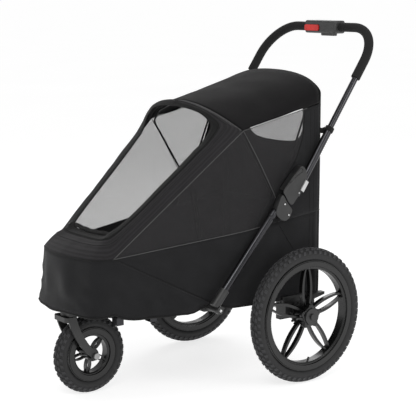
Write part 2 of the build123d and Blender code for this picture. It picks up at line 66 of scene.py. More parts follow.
# ---- materials
class Material:
    """A node material with its shader at hand."""

    def __init__(self, name, coordinate="Object"):
        self.material = bpy.data.materials.new(name)
        self.material.use_nodes = True
        self.tree = self.material.node_tree
        self.shader = self.tree.nodes["Principled BSDF"]
        self.place = self.tree.nodes.new("ShaderNodeTexCoord").outputs[coordinate]

    def node(self, kind, inputs, **settings):
        made = self.tree.nodes.new("ShaderNode" + kind)
        for key, value in settings.items():
            setattr(made, key, value)
        for key, value in inputs.items():
            self.set(made.inputs[key], value)
        return made

    def set(self, socket, value):
        if isinstance(value, bpy.types.NodeSocket):
            self.tree.links.new(value, socket)
        else:
            socket.default_value = value

    def shade(self, **inputs):
        for key, value in inputs.items():
            self.set(self.shader.inputs[key.replace("_", " ")], value)
        return self

    def math(self, operation, *values):
        return self.node("Math", dict(enumerate(values)), operation=operation).outputs[0]

    def noise(self, scale, detail=3.0, stretch=(1, 1, 1)):
        at = self.node("Mapping", {"Vector": self.place, "Scale": stretch}).outputs[0]
        return self.node("TexNoise", {"Vector": at, "Scale": scale, "Detail": detail}).outputs["Fac"]

    def bands(self, pitch, direction, distortion=0.0):
        """A sine from 0 to 1 that repeats every pitch metres."""
        inputs = {"Vector": self.place, "Scale": 0.314 / pitch, "Distortion": distortion, "Detail": 0.0}
        return self.node("TexWave", inputs, bands_direction=direction).outputs["Fac"]

    def ramp(self, fac, low, high, start=0.0, end=1.0):
        made = self.node("ValToRGB", {"Fac": fac})
        ends = made.color_ramp.elements
        ends[0].position, ends[1].position = start, end
        ends[0].color, ends[1].color = (*low, 1), (*high, 1)
        return made.outputs[0]

    def bump(self, height, distance, strength=1.0):
        inputs = {"Height": height, "Distance": distance, "Strength": strength}
        self.shade(Normal=self.node("Bump", inputs).outputs[0])
        return self


def woven(name, low, high, pitch, coordinate="UV", ribs=0.0, sheen=0.1):
    """Woven cloth: crossed threads, uneven dye and, with ribs, a raised cord every ribs metres."""
    m = Material(name, coordinate)
    threads = m.math("MULTIPLY", m.bands(pitch, "X", 0.6), m.bands(pitch, "Y", 0.6))
    tone = m.math("ADD", m.math("MULTIPLY", threads, 0.35), m.math("MULTIPLY", m.noise(14.0, 5.0), 0.65))
    height = m.math("ADD", threads, m.math("MULTIPLY", m.noise(160.0), 0.6))
    if ribs:
        cords = m.bands(ribs, "Y", 0.8)
        tone = m.math("ADD", m.math("MULTIPLY", tone, 0.65), m.math("MULTIPLY", cords, 0.35))
        height = m.math("ADD", height, m.math("MULTIPLY", cords, 3.0))
    m.shade(Base_Color=m.ramp(tone, low, high, 0.15, 0.85), Roughness=0.86,
            Sheen_Weight=sheen, Sheen_Roughness=0.5, Specular_IOR_Level=1.6 * sheen)
    return m.bump(height, 0.0004, 0.6).material


def netting(name, colour, pitch, opening):
    """Knitted mesh: holes between crossed threads."""
    m = Material(name, "UV")
    across, along = m.bands(pitch, "X", 0.5), m.bands(pitch, "Y", 0.5)
    thread = m.math("MAXIMUM", across, along)
    cover = m.node("MapRange", {"Value": thread, "From Min": opening - 0.05, "From Max": opening + 0.05})
    tone = m.math("MULTIPLY", m.noise(30.0), thread)
    colour = m.ramp(tone, [c * 0.6 for c in colour], colour)
    m.shade(Base_Color=colour, Alpha=cover.outputs[0], Roughness=0.8)
    return m.bump(thread, 0.0003, 0.5).material


def moulded(name, low, high, roughness, grain=900.0, depth=0.00012, sheen=0.0):
    """Moulded plastic or foam with a fine grain and slight rubbing."""
    m = Material(name)
    wear = m.noise(26.0, 6.0)
    rough = m.math("ADD", roughness - 0.08, m.math("MULTIPLY", wear, 0.16))
    m.shade(Base_Color=m.ramp(wear, low, high, 0.3, 0.75), Roughness=rough, Sheen_Weight=sheen)
    return m.bump(m.noise(grain, 2.0), depth, 0.5).material


def metal(name, low, high, roughness, stretch=(1, 1, 1)):
    """Lacquered or plain metal with drawn streaks."""
    m = Material(name)
    streaks = m.noise(60.0, 6.0, stretch)
    rough = m.math("ADD", roughness - 0.05, m.math("MULTIPLY", streaks, 0.12))
    m.shade(Base_Color=m.ramp(m.noise(12.0, 5.0), low, high, 0.25, 0.8), Roughness=rough, Metallic=0.9)
    return m.bump(streaks, 0.00004, 0.15).material


def grey(value, tint=(1.0, 1.0, 1.0)):
    return [value * t for t in tint]


COOL, PLUM = (1.0, 1.0, 1.08), (1.04, 0.98, 1.06)
oxford = woven("oxford_cloth", grey(0.007, COOL), grey(0.017, COOL), 0.0016)
roof_cloth = woven("roof_cloth", grey(0.004, PLUM), grey(0.011, PLUM), 0.0016, sheen=0.06)
band_cloth = woven("band_cloth", grey(0.012, PLUM), grey(0.027, PLUM), 0.0016, ribs=0.0062)
hem_tape = woven("hem_tape", grey(0.006), grey(0.013), 0.0022)
pad_cloth = woven("pad_cloth", grey(0.02, COOL), grey(0.04, COOL), 0.0018, "Object")
piping_cord = woven("piping_cord", grey(0.055), grey(0.11), 0.0015)
webbing = woven("webbing", grey(0.008), grey(0.018), 0.0028)
side_net = netting("side_net", grey(0.022, PLUM), 0.0022, 0.66)
window_net = netting("window_net", grey(0.05, PLUM), 0.0022, 0.94)
rubber = moulded("tyre_rubber", grey(0.004, COOL), grey(0.01, COOL), 0.66, 500.0, sheen=0.04)
# The tread blocks get a lighter copy of the tyre rubber: painted light on the tread.
tread_rubber = moulded("tread_rubber", grey(0.016, COOL), grey(0.034, COOL), 0.74, 420.0, sheen=0.1)
rim_black = moulded("rim_plastic", grey(0.0015), grey(0.005), 0.26)
plastic = moulded("dark_plastic", grey(0.012), grey(0.026), 0.42)
grey_moulding = moulded("grey_plastic", grey(0.028), grey(0.05), 0.42)
red_moulding = moulded("red_plastic", (0.55, 0.012, 0.01), (0.74, 0.026, 0.018), 0.34)
foam = moulded("grip_foam", grey(0.004), grey(0.01), 0.93, 420.0, 0.0004)
tube_metal = metal("tube_lacquer", grey(0.038, COOL), grey(0.052, COOL), 0.16)
bow_lacquer = metal("bow_lacquer", grey(0.01), grey(0.02), 0.35)
silver = metal("bright_metal", grey(0.5), grey(0.66), 0.26)
steel = metal("zinc_steel", grey(0.26), grey(0.4), 0.34)

FINISHES = {
    "black_fabric": oxford, "grey_fabric": roof_cloth, "mesh": side_net, "cushion_fabric": pad_cloth,
    "foam": foam, "frame_tube": tube_metal, "dark_plastic": plastic, "grey_plastic": grey_moulding,
    "red_plastic": red_moulding, "silver": silver, "steel": steel, "tyre": rubber, "rim_plastic": rim_black,
}
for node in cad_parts.values():
    for slot in node.material_slots:
        slot.material = FINISHES[slot.material.name.split(".")[0]]
for name in ("front_bow", "rear_bow"):      # dark lacquer, though their slot is steel
    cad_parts[name].material_slots[0].material = bow_lacquer
for name in ("hub_button_left", "hub_button_right", "hub_cap_left", "hub_cap_right"):
    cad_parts[name].material_slots[0].material = plastic


# ---- small tools
def mesh_object(name, points, faces, material, smooth=True):
    mesh = bpy.data.meshes.new(name)
    mesh.from_pydata([tuple(p) for p in points], [], faces)
    mesh.materials.append(material)
    if smooth:
        mesh.shade_smooth()
    made = bpy.data.objects.new(name, mesh)
    bpy.context.scene.collection.objects.link(made)
    return made


def outward(made):
    """Turns the faces of a closed mesh outward."""
    work = bmesh.new()
    work.from_mesh(made.data)
    bmesh.ops.recalc_face_normals(work, faces=work.faces)
    work.to_mesh(made.data)
    work.free()
    return made


def lerp(a, b, t):
    return a + (b - a) * t


def signed_power(value, power):
    """A power of the size of value, with its sign."""
    return copysign(abs(value) ** power, value)


def steps(low, high, count):
    """Evenly spaced values from low to high."""
    return [lerp(low, high, k / (count - 1)) for k in range(count)]


def broken_line(points, value):
    """The second number at a value of the first, on straight runs between points."""
    for (a, low), (b, high) in zip(points, points[1:]):
        if value <= b:
            return lerp(low, high, max(0.0, (value - a) / (b - a)))
    return points[-1][1]


def catmull(a, b, c, d, t):
    """A point of the smooth curve between b and c."""
    square, cube = 2 * a - 5 * b + 4 * c - d, 3 * b - a - 3 * c + d
    return 0.5 * (2 * b + (c - a) * t + square * t ** 2 + cube * t ** 3)


def smooth_line(points, count):
    """Points at even distances on a smooth curve through the given points."""
    points = [Vector(p) for p in points]
    ends = [points[0] * 2 - points[1], *points, points[-1] * 2 - points[-2]]
    fine = []
    for a, b, c, d in zip(ends, ends[1:], ends[2:], ends[3:]):
        fine += [catmull(a, b, c, d, step / 12) for step in range(12)]
    fine.append(points[-1])
    return even(fine, count)


def even(points, count):
    """The same polyline with its points at even distances."""
    lengths = [0.0]
    for a, b in zip(points, points[1:]):
        lengths.append(lengths[-1] + (b - a).length)
    spaced, at = [], 0
    for k in range(count):
        goal = lengths[-1] * k / (count - 1)
        while at < len(points) - 2 and lengths[at + 1] < goal:
            at += 1
        length = max(lengths[at + 1] - lengths[at], 1e-9)
        spaced.append(points[at].lerp(points[at + 1], min(1.0, (goal - lengths[at]) / length)))
    return spaced


def quads(rows, count, loop=True, wrap=False):
    """Faces between rows of count points; loop closes each row, wrap joins the last row to the first."""
    return [(i * count + j, i * count + (j + 1) % count, (i + 1) % rows * count + (j + 1) % count,
             (i + 1) % rows * count + j)
            for i in range(rows if wrap else rows - 1) for j in range(count if loop else count - 1)]


def caps(rows, count):
    """The two end faces of a form whose rows are closed rings."""
    return [tuple(range(count))[::-1], tuple((rows - 1) * count + j for j in range(count))]


def grid(name, rows, material, thickness=0.0, loop=False):
    """Cloth over rows of points, with its UVs in metres."""
    count = len(rows[0])
    across = count if loop else count - 1
    made = mesh_object(name, [p for row in rows for p in row], quads(len(rows), count, loop), material)
    us = []
    for row in rows:
        run = [0.0]
        for j in range(across):
            run.append(run[-1] + (row[(j + 1) % count] - row[j]).length)
        us.append(run)
    vs, middle = [0.0], count // 2
    for above, below in zip(rows, rows[1:]):
        vs.append(vs[-1] + (below[middle] - above[middle]).length)
    layer = made.data.uv_layers.new(name="UVMap")
    at = 0
    for i in range(len(rows) - 1):
        for j in range(across):
            for u, v in ((us[i][j], vs[i]), (us[i][j + 1], vs[i]), (us[i + 1][j + 1], vs[i + 1]),
                         (us[i + 1][j], vs[i + 1])):
                layer.data[at].uv = (u, v)
                at += 1
    if thickness:
        solid = made.modifiers.new("cloth", "SOLIDIFY")
        solid.thickness, solid.offset = thickness, 0.0
    return made


def tube(name, points, radius, material, sides=8, closed=False, flat=1.0):
    """A round bar along points, or a flattened one; its ends are capped."""
    count = len(points)
    side = None
    rings = []
    for k, point in enumerate(points):
        before = points[k - 1] if k or closed else points[0]
        after = points[(k + 1) % count] if k < count - 1 or closed else points[-1]
        along = (after - before).normalized()
        if side is None:
            side = along.cross(Vector((0, 0, 1)) if abs(along.z) < 0.9 else Vector((1, 0, 0)))
        side = (side - along * side.dot(along)).normalized()
        up = along.cross(side)
        size = radius(k / (count - 1)) if callable(radius) else radius
        angles = [tau * a / sides for a in range(sides)]
        rings.append([point + side * size * cos(a) + up * size * flat * sin(a) for a in angles])
    if closed:
        rings.append(rings[0])
    made = grid(name, rings, material, loop=True)
    if closed:
        return made
    work = bmesh.new()
    work.from_mesh(made.data)
    bmesh.ops.holes_fill(work, edges=[e for e in work.edges if e.is_boundary])
    work.to_mesh(made.data)
    work.free()
    return outward(made)


def strap(name, points, width_way, width, material, thickness=0.0016):
    """A flat strip along points; width_way is the direction of its width."""
    way = Vector(width_way).normalized() * width / 2
    rows = [[p - way for p in points], list(points), [p + way for p in points]]
    return grid(name, rows, material, thickness)


def mirrored(points):
    return [Vector((-p.x, p.y, p.z)) for p in points]


def fold(piece):
    """Gives a piece of cloth over the bows its own copy of its mesh."""
    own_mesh(piece)


def place(piece, body, finish, *stands_for, folds=False):
    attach(piece, body)
    if stands_for:
        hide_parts(*stands_for)
    if folds:
        fold(piece)
    return piece


def panel(piece, width, length, share, *stands_for, finish="black_fabric", folds=True):
    """A sewn panel of the cabin, put on the chassis; the width and length of its cut in metres, and share,
    are not used.
    """
    place(piece, "chassis", finish, *stands_for, folds=folds)


# ---- outlines of the side, as (y, z)
def wall_x(y):
    if y > TAPER_Y:
        return WALL_X
    return lerp(NOSE_X, WALL_X, (y - NOSE_Y) / (TAPER_Y - NOSE_Y))


def seam_z(y):
    return lerp(NOSE_Z, SEAM_Z, (y - NOSE_Y) / (BACK_Y - NOSE_Y))


def eave_z(y):
    return lerp(EAVE_Z, REAR_EAVE_Z, (y - TAPER_Y) / (BACK_Y - TAPER_Y))


FRONT_EDGE = [(SHOULDER_Y, SHOULDER_Z), (TAPER_Y, EAVE_Z)]
BOW_SEAM = [(TAPER_Y, EAVE_Z), (0.035, 0.665), (0.0903, 0.568), (0.102, 0.545)]
REAR_SEAM = [(0.08, 0.471), (0.088, 0.5), (0.1, 0.54), (0.125, 0.585), (0.1706, 0.6417),
             (0.189, 0.6784), (0.2036, 0.7212), (0.2069, 0.7502), (0.2095, 0.7865), (0.2105, 0.8)]


def net_low(y):
    return max(seam_z(y), broken_line(REAR_SEAM, y)) if y > REAR_SEAM[0][0] else seam_z(y)


def net_top(y):
    return broken_line(FRONT_EDGE, y) if y < TAPER_Y else eave_z(y)


def strip_top(y):
    return min(eave_z(y), broken_line(REAR_SEAM, y)) if y < REAR_SEAM[-1][0] else eave_z(y)


def span(low, high, count, extra=()):
    """Even values with the extra ones put in."""
    return sorted({round(value, 5) for value in [*steps(low, high, count), *extra]})


def side_patch(name, sign, ys, low, high, material, bulge=0.0, crease=0.0, rows=14):
    """A side panel between two outlines, with a bulge at its middle and soft creases."""
    lines = []
    for t in steps(0, 1, rows + 1):
        line = []
        for y in ys:
            z = lerp(low(y), high(y), t)
            s = (y - ys[0]) / (ys[-1] - ys[0])
            ripple = crease * noise.noise(Vector((y * 9, z * 16, 3.0 * sign)))
            line.append(Vector((sign * (wall_x(y) + (bulge + ripple) * sin(pi * t) * sin(pi * s)), y, z)))
        lines.append(line)
    return grid(name, lines, material, 0.0 if material is side_net else 0.0012)


# ---- side walls
def lower_edge(y):
    return broken_line([(NOSE_Y, 0.25), (-0.29, 0.24), (-0.175, 0.238), (-0.135, 0.25),
                        (CONNECTOR[0], 0.2615), (-0.06, HEM_Z), (BACK_Y, REAR_HEM_Z)], y)


def ankle_line(y):
    """The seam from the shoulder down to the tube connector, and the hem behind it."""
    if y < CONNECTOR[0]:
        return lerp(SHOULDER_Z, CONNECTOR[1], (y - SHOULDER_Y) / (CONNECTOR[0] - SHOULDER_Y))
    return lower_edge(y)


REAR_ROUND = 0.016      # the cabin's rear corners


def side_walls(side, sign):
    seam_ys = [point[0] for point in REAR_SEAM]
    ys = span(SHOULDER_Y, BACK_Y - REAR_ROUND + 0.001, 56, (CONNECTOR[0], -0.06))
    lower = side_patch("lower_side_cloth_" + side, sign, ys, ankle_line, seam_z, oxford, -0.003, 0.004, 16)
    panel(lower, 0.72, 0.255, 0.74, "side_panel_" + side, folds=False)
    ys = span(SHOULDER_Y, REAR_SEAM[-1][0], 84, [TAPER_Y, *seam_ys])
    net = side_patch("side_net_" + side, sign, ys, net_low, net_top, side_net, -0.005, 0.002, 26)
    panel(net, 0.7, 0.36, 0.55, "upper_side_" + side, finish="mesh")
    ys = span(REAR_SEAM[0][0] + 0.0005, BACK_Y - REAR_ROUND + 0.001, 44, seam_ys)
    strip = side_patch("rear_side_cloth_" + side, sign, ys, seam_z, strip_top, oxford, 0.0, 0.002, 22)
    panel(strip, 0.145, 0.33, 0.72)


PIPING_R, STAND_OFF = 0.0012, 0.0012


def on_wall(sign, points, stand_off=STAND_OFF):
    """Points (y, z) laid on the side wall."""
    return [Vector((sign * (wall_x(y) + stand_off), y, z)) for y, z in points]


def edging(name, points, radius, folds=False, material=hem_tape, finish="black_fabric", closed=False):
    """A cord or binding along the edge of a panel."""
    place(tube(name, points, radius, material, 6, closed=closed), "chassis", finish, folds=folds)


STITCH_YS = (0.232, 0.247)
STITCHES = (("rear_stitch", (0.25, 0.33, 0.41, 0.485), False),
            ("upper_stitch", (0.492, 0.6, 0.7, 0.795), True))


def side_seams(side, sign):
    """The side's cords: name, line as (y, z), whether it folds, stand-off, material and radius."""
    front = zip(steps(SHOULDER_Y, TAPER_Y, 7), steps(SHOULDER_Z, EAVE_Z, 7))
    eave = [(y, eave_z(y)) for y in steps(TAPER_Y, 0.216, 7)]
    seam = [(y, seam_z(y) - 0.0004) for y in steps(SHOULDER_Y, 0.058, 9)]
    ankle = [(y, ankle_line(y)) for y in steps(SHOULDER_Y, CONNECTOR[0], 7)]
    hem = [(y, lower_edge(y)) for y in (CONNECTOR[0], -0.09, -0.06, 0.0, 0.1, 0.2, 0.262)]
    dart = [(0.1075, 0.4791), (0.135, 0.4405), (0.1636, 0.399), (0.186, 0.372)]
    piped = (STAND_OFF, piping_cord, PIPING_R)
    seams = [
        ("front_piping", front, True, *piped), ("bow_seam", BOW_SEAM, True, STAND_OFF, piping_cord, 0.001),
        ("eave_piping", eave, True, *piped), ("cabin_seam_piping", seam, False, *piped),
        ("ankle_piping", ankle, False, STAND_OFF, hem_tape, PIPING_R),
        ("hem_binding", hem, False, 0.0, hem_tape, 0.0026),
        ("strip_seam", REAR_SEAM, True, 0.0004, hem_tape, 0.0014),
        ("lower_dart", dart, False, 0.0002, hem_tape, PIPING_R)]
    for k, y in enumerate(STITCH_YS):
        seams += [(f"{name}_{k}", [(y, z) for z in zs], folds, 0.0004, hem_tape, 0.0009)
                  for name, zs, folds in STITCHES]
    for name, line, folds, stand_off, material, radius in seams:
        line = smooth_line(on_wall(sign, line, stand_off), 40)
        edging(f"{name}_{side}", line, radius, folds, material, "grey_fabric")


# ---- apron round the nose
APRON_TOP = [(0.1562, SHOULDER_Y), (0.1505, -0.43), (0.142, -0.448),
             (0.123, -0.461), (0.075, -0.4745), (0.0, -0.4825)]
APRON_LOW = [(0.162, -0.405), (0.1605, -0.44), (0.153, -0.462),
             (0.137, -0.473), (0.08, -0.4885), (0.0, -0.4965)]
APRON_HEM_Z = 0.256


def across_nose(points, count, z):
    half = [Vector((x, y, z)) for x, y in points]
    return smooth_line(half + mirrored(half[-2::-1]), count)


def apron():
    front_top = across_nose(APRON_TOP, 57, NOSE_Z + 0.002)
    front_low = across_nose(APRON_LOW, 57, APRON_HEM_Z)
    ys = steps(CONNECTOR[0], SHOULDER_Y, 17)[:-1]
    side_top = [Vector((wall_x(y) + 0.0015, y, ankle_line(y) - 0.001)) for y in ys]
    side_low = [Vector((wall_x(y) + 0.0015 + 0.00025 * k, y, lower_edge(y))) for k, y in enumerate(ys)]
    top = side_top + front_top + mirrored(side_top[::-1])
    low = side_low + front_low + mirrored(side_low[::-1])
    low = [p + Vector((0, 0, 0.007 * noise.noise(Vector((p.x * 15, p.y * 17, 4))))) for p in low]
    lines = []
    for t in steps(0, 1, 15):
        line = []
        for a, b in zip(top, low):
            p = a.lerp(b, t)
            away = Vector((p.x, p.y + 0.15, 0)).normalized()
            pull = sin(pi * t)
            crease = 0.013 * noise.noise(Vector((p.x * 13, p.y * 13, p.z * 9))) * pull
            fan = noise.noise(Vector((p.y * 34 + p.z * 26, p.x * 12, p.z * 5)))
            crease -= (0.009 + 0.01 * min(1.0, abs(p.x) / 0.15)) * abs(fan) * pull * t
            line.append(p + away * (crease + 0.003 * pull))
        lines.append(line)
    panel(grid("apron_cloth", lines, oxford, CLOTH_THICK), 1.02, 0.158, 0.78, "apron", folds=False)
    edging("apron_top_seam", front_top, 0.0016)
    edging("apron_hem", low, 0.0028)


# ---- arches and the front band
FRONT_ARCH_ANGLE = radians(122)


def front_arch(theta, lift=0.0):
    x = WALL_X * cos(theta)
    r = 0.341 - 0.086 * cos(theta) ** 2 + lift
    return Vector((x, HINGE_Y + r * cos(FRONT_ARCH_ANGLE), HINGE_Z + r * sin(FRONT_ARCH_ANGLE)))


REAR_RISE, REAR_POWER = 0.0905, 2.3     # the height and squareness of the rear arch
REAR_DROP = 0.004       # the roof rounds down by this much to its rear seam


def rear_arch(theta):
    x = (WALL_X + 0.002) * signed_power(cos(theta), 2 / REAR_POWER)
    z = REAR_EAVE_Z + REAR_RISE * max(sin(theta), 0.0) ** (2 / REAR_POWER)
    return Vector((x, BACK_Y - REAR_ROUND * abs(x / WALL_X) ** 9, z))


def front_edge(t):
    """A point of the side piping, from the shoulder at 0 to the arch at 1."""
    y = lerp(SHOULDER_Y, TAPER_Y, t)
    return Vector((wall_x(y), y, lerp(SHOULDER_Z, EAVE_Z, t)))


# Half of the band's outer line and of its rim, from the middle of the nose to the middle of the arch.
OUTER_HALF = [
    Vector((0, -0.4825, 0.4125)), Vector((0.05, -0.479, 0.4125)), Vector((0.1, -0.4685, 0.4125)),
    Vector((0.14, -0.45, 0.4128)),
    *[front_edge(t) for t in (0, 0.12, 0.25, 0.38, 0.49, 0.6, 0.71, 0.84, 0.98)],
    *[front_arch(radians(angle)) for angle in (22, 44, 67, 90)]]
RIM_HALF = [Vector(point) for point in (
    (0, -0.375, 0.459), (0.04, -0.376, 0.4595), (0.072, -0.379, 0.462), (0.087, -0.381, 0.468),
    (0.095, -0.3755, 0.476), (0.108, -0.351, 0.4935), (0.1215, -0.2965, 0.539), (0.13, -0.2385, 0.5905),
    (0.138, -0.195, 0.6285), (0.144, -0.1585, 0.6615), (0.15, -0.1275, 0.6905), (0.156, -0.099, 0.718),
    (0.162, -0.078, 0.758), (0.14, -0.079, 0.779), (0.108, -0.086, 0.795), (0.056, -0.094, 0.804),
    (0, -0.0975, 0.807))]
HEM_SHARE = 0.74        # the dark hem starts here, on the way from the piping to the rim


def stations(half, per=6):
    """A smooth closed line through a half outline and its mirror image, per points to a stretch."""
    whole = half + mirrored(half[-2:0:-1])
    count = len(whole)
    line = []
    for k in range(count):
        a, b, c, d = (whole[(k + n) % count] for n in (-1, 0, 1, 2))
        line += [catmull(a, b, c, d, step / per) for step in range(per)]
    return line


def band_rows(shares, lift=0.0):
    """Lines round the opening, each at a share of the way from the piping to the rim."""
    outer, rim = stations(OUTER_HALF), stations(RIM_HALF)
    rows = []
    for share in shares:
        row = []
        for a, b in zip(outer, rim):
            centre = Vector((0, (a.y + b.y) / 2 + 0.12, (a.z + b.z) / 2 - 0.16))
            p = a.lerp(b, share)
            crown = 0.011 * sin(pi * share) ** 0.9
            crease = 0.0016 * noise.noise(p * 22) * sin(pi * share)
            row.append(p + (p - centre).normalized() * (crown + crease + lift))
        rows.append(row)
    return rows


def front_band():
    rows = band_rows(steps(0, 1, 13))
    band = grid("front_band_cloth", rows, band_cloth, CLOTH_THICK, loop=True)
    panel(band, 1.9, 0.085, 0.9, "front_band", finish="grey_fabric")
    rows = band_rows(steps(HEM_SHARE, 1.0, 5), 0.0014)
    hem = grid("opening_hem", rows, hem_tape, CLOTH_THICK, loop=True)
    panel(hem, 1.5, 0.022, 0.9)
    for name, share, radius, material in (
            ("opening_cord", 1.0, 0.0018, hem_tape), ("zipper_teeth", HEM_SHARE - 0.03, 0.0013, webbing),
            ("band_stitch_line", 0.5, 0.0007, hem_tape)):
        edging(name, band_rows([share], 0.0012)[0], radius, True, material, closed=True)


# ---- roof and rear wall
def roof():
    lines = []
    for t in steps(0, 1, 27):
        line = []
        for theta in steps(0, pi, 57):
            p = front_arch(theta, 0.0015).lerp(rear_arch(theta), t)
            sag = 0.005 * sin(pi * t) * sin(theta) ** 0.7
            ripple = 0.0035 * noise.noise(Vector((p.x * 11, p.y * 14, 7.0))) * sin(pi * t)
            turn = REAR_DROP * max(0.0, (t - 0.88) / 0.12) ** 2.2 * sin(theta) ** 0.6
            line.append(p + Vector((0, 0, ripple - sag - turn)))
        lines.append(line)
    made = grid("roof_cloth", lines, roof_cloth, 0.0016)
    panel(made, 0.53, 0.33, 0.96, "canopy", finish="grey_fabric")
    angles = steps(0, pi, 61)
    lip = [front_arch(theta, 0.002) for theta in angles]
    edging("roof_front_piping", lip, PIPING_R, True, piping_cord, "grey_fabric")
    back = [rear_arch(theta) - Vector((0, 0, REAR_DROP * sin(theta) ** 0.6)) for theta in angles]
    edging("roof_rear_seam", back, 0.0016, True, finish="grey_fabric")


REAR_FLAT = WALL_X - REAR_ROUND
CORNER_RUN = REAR_ROUND * pi / 2
REAR_REACH = REAR_FLAT + CORNER_RUN     # from the middle of the rear wall to its edge, round the corner


def rear_point(s, z, inset=0.0):
    """A point of the rear wall, s metres from its middle, round the corners."""
    side, s = (1 if s >= 0 else -1), abs(s)
    if s <= REAR_FLAT:
        return Vector((side * s, BACK_Y - inset, z))
    a = min(s - REAR_FLAT, CORNER_RUN) / REAR_ROUND
    reach = REAR_ROUND - inset
    return Vector((side * (REAR_FLAT + reach * sin(a)), BACK_Y - REAR_ROUND + reach * cos(a), z))


def swell(x, z):
    """The upper rear wall's soft curve outward, nothing at its edges."""
    up = min(1.0, max(0.0, (z - SEAM_Z) / (REAR_EAVE_Z + 0.085 - SEAM_Z)))
    return Vector((0, 0.009 * sin(pi * up) ** 0.7 * max(0.0, 1 - (x / WALL_X) ** 2), 0))


WINDOW_Z, WINDOW_HALF, WINDOW_RISE = 0.762, 0.136, 0.082
WINDOW_POWER = 0.56     # below 1 the window is squarer than an ellipse


def rear_top(s):
    """The height of the rear wall's arched edge."""
    u = min(1.0, abs(rear_point(s, 0).x) / WALL_X)
    return REAR_EAVE_Z + (REAR_RISE - 0.0005 - REAR_DROP) * (1 - u ** REAR_POWER) ** (1 / REAR_POWER)


def window_frame(count=240):
    """The window's outline and, straight out from its points, the upper wall's edge, both as (s, z)."""
    window, edge = [], []
    for k in range(count):
        angle = tau * k / count
        c, s = signed_power(cos(angle), WINDOW_POWER), signed_power(sin(angle), WINDOW_POWER)
        window.append((WINDOW_HALF * c, WINDOW_Z + WINDOW_RISE * s))
        near, far = 0.0, 0.6
        for _ in range(24):
            middle = (near + far) / 2
            x, z = middle * c, WINDOW_Z + middle * s
            inside = abs(x) < REAR_REACH and SEAM_Z < z < rear_top(x)
            near, far = (middle, far) if inside else (near, middle)
        edge.append((near * c, WINDOW_Z + near * s))
    for corner in (-REAR_REACH, REAR_REACH):
        k = min(range(count), key=lambda n: (edge[n][0] - corner) ** 2 + (edge[n][1] - SEAM_Z) ** 2)
        edge[k] = (corner, SEAM_Z)
    return window, edge


# The door's zipper is the window's outline, wider and taller by these factors.
ZIP_Z, ZIP_WIDE, ZIP_UP, ZIP_DOWN = 0.735, 1.28, 1.24, 2.2


def on_rear(points, inset=0.0):
    """Points (s, z) laid on the rear wall and its swell."""
    return [rear_point(s, z, inset) + swell(s, z) for s, z in points]


def rear_wall():
    ss = steps(-REAR_REACH, REAR_REACH, 61)
    lines = []
    for z in steps(REAR_HEM_Z, SEAM_Z, 15):
        ripple = [0.002 * noise.noise(Vector((s * 9, z * 12, 1))) for s in ss]
        lines.append([rear_point(s, z) + Vector((0, out, 0)) for s, out in zip(ss, ripple)])
    lower = grid("rear_lower_cloth", lines, oxford, CLOTH_THICK)
    panel(lower, 0.485, 0.256, 1.0, "rear_panel", folds=False)
    window, edge = window_frame()
    lines = []
    for t in (0, 0.03, 0.06, 0.09, 0.12, 0.16, 0.22, 0.4, 0.6, 0.8, 1):
        spots = [(lerp(e[0], w[0], t), lerp(e[1], w[1], t)) for e, w in zip(edge, window)]
        lines.append(on_rear(spots))
    panel(grid("rear_upper_cloth", lines, oxford, CLOTH_THICK, loop=True), 0.485, 0.39, 0.58)
    lines = []
    for t in steps(-1, 1, 11):
        half = WINDOW_HALF * max(0.45, (1 - abs(t) ** (2 / WINDOW_POWER)) ** (WINDOW_POWER / 2))
        lines.append(on_rear([(half * u, WINDOW_Z + WINDOW_RISE * t) for u in steps(-1, 1, 25)], 0.0008))
    panel(grid("rear_window_net", lines, window_net), 0.29, 0.165, 0.97, finish="mesh")
    edging("rear_window_binding", on_rear(window, -0.0012), 0.0022, True, closed=True)
    zipper = [(x * ZIP_WIDE, ZIP_Z + (z - WINDOW_Z) * (ZIP_UP if z > WINDOW_Z else ZIP_DOWN))
              for x, z in window]
    edging("rear_door_zipper", on_rear(zipper, -0.001), 0.0018, True, webbing, closed=True)
    edging("rear_hem", [rear_point(s, REAR_HEM_Z) for s in ss], 0.0026)
    seam = [rear_point(s, SEAM_Z, -0.001) for s in ss]
    edging("rear_seam_piping", seam, PIPING_R, False, piping_cord, "grey_fabric")
    pocket()


POCKET_HALF, POCKET_LOW, POCKET_HIGH = 0.135, 0.29, 0.45


def pocket():
    """A flat storage pocket on the lower rear wall."""
    lines = []
    for t in steps(0, 1, 13):
        z = lerp(POCKET_LOW, POCKET_HIGH, t)
        line = []
        for u in steps(-1, 1, 25):
            puff = 0.013 * (1 - u ** 4) * (1 - (2 * t - 1) ** 4)
            puff += 0.0025 * noise.noise(Vector((u * 3, z * 20, 5)))
            line.append(Vector((POCKET_HALF * u, BACK_Y + 0.001 + max(0.0, puff), z)))
        lines.append(line)
    panel(grid("rear_pocket", lines, oxford, 0.0012), 0.275, 0.17, 1.0, folds=False)
    mouth = [Vector((POCKET_HALF * u, BACK_Y + 0.003 + 0.0125 * (1 - u ** 4), POCKET_HIGH - 0.014))
             for u in steps(-1, 1, 21)]
    edging("rear_pocket_binding", mouth, 0.003)


# ---- folded front door
def folded_door():
    """The opening's net door, rolled up small and tucked behind the foot of the rim."""
    turns, half, middle = 2.3, 0.098, Vector((0, -0.3765, 0.4665))
    lines = []
    for t in steps(0, 1, 45):
        a, r = tau * turns * t, lerp(0.0035, 0.0085, t)
        at = middle + Vector((0, r * cos(a), r * 0.7 * sin(a)))
        lines.append([at + Vector((half * u, 0.004 * u * u, 0.005 * u * u + 0.0008 * sin(u * 14)))
                      for u in steps(-1, 1, 25)])
    panel(grid("folded_door", lines, hem_tape, 0.0008), 0.2, 0.088, 1.0, finish="mesh")


# ---- cushion
QUILT_SEAMS = (-0.27, -0.12, 0.03, 0.17)    # their y


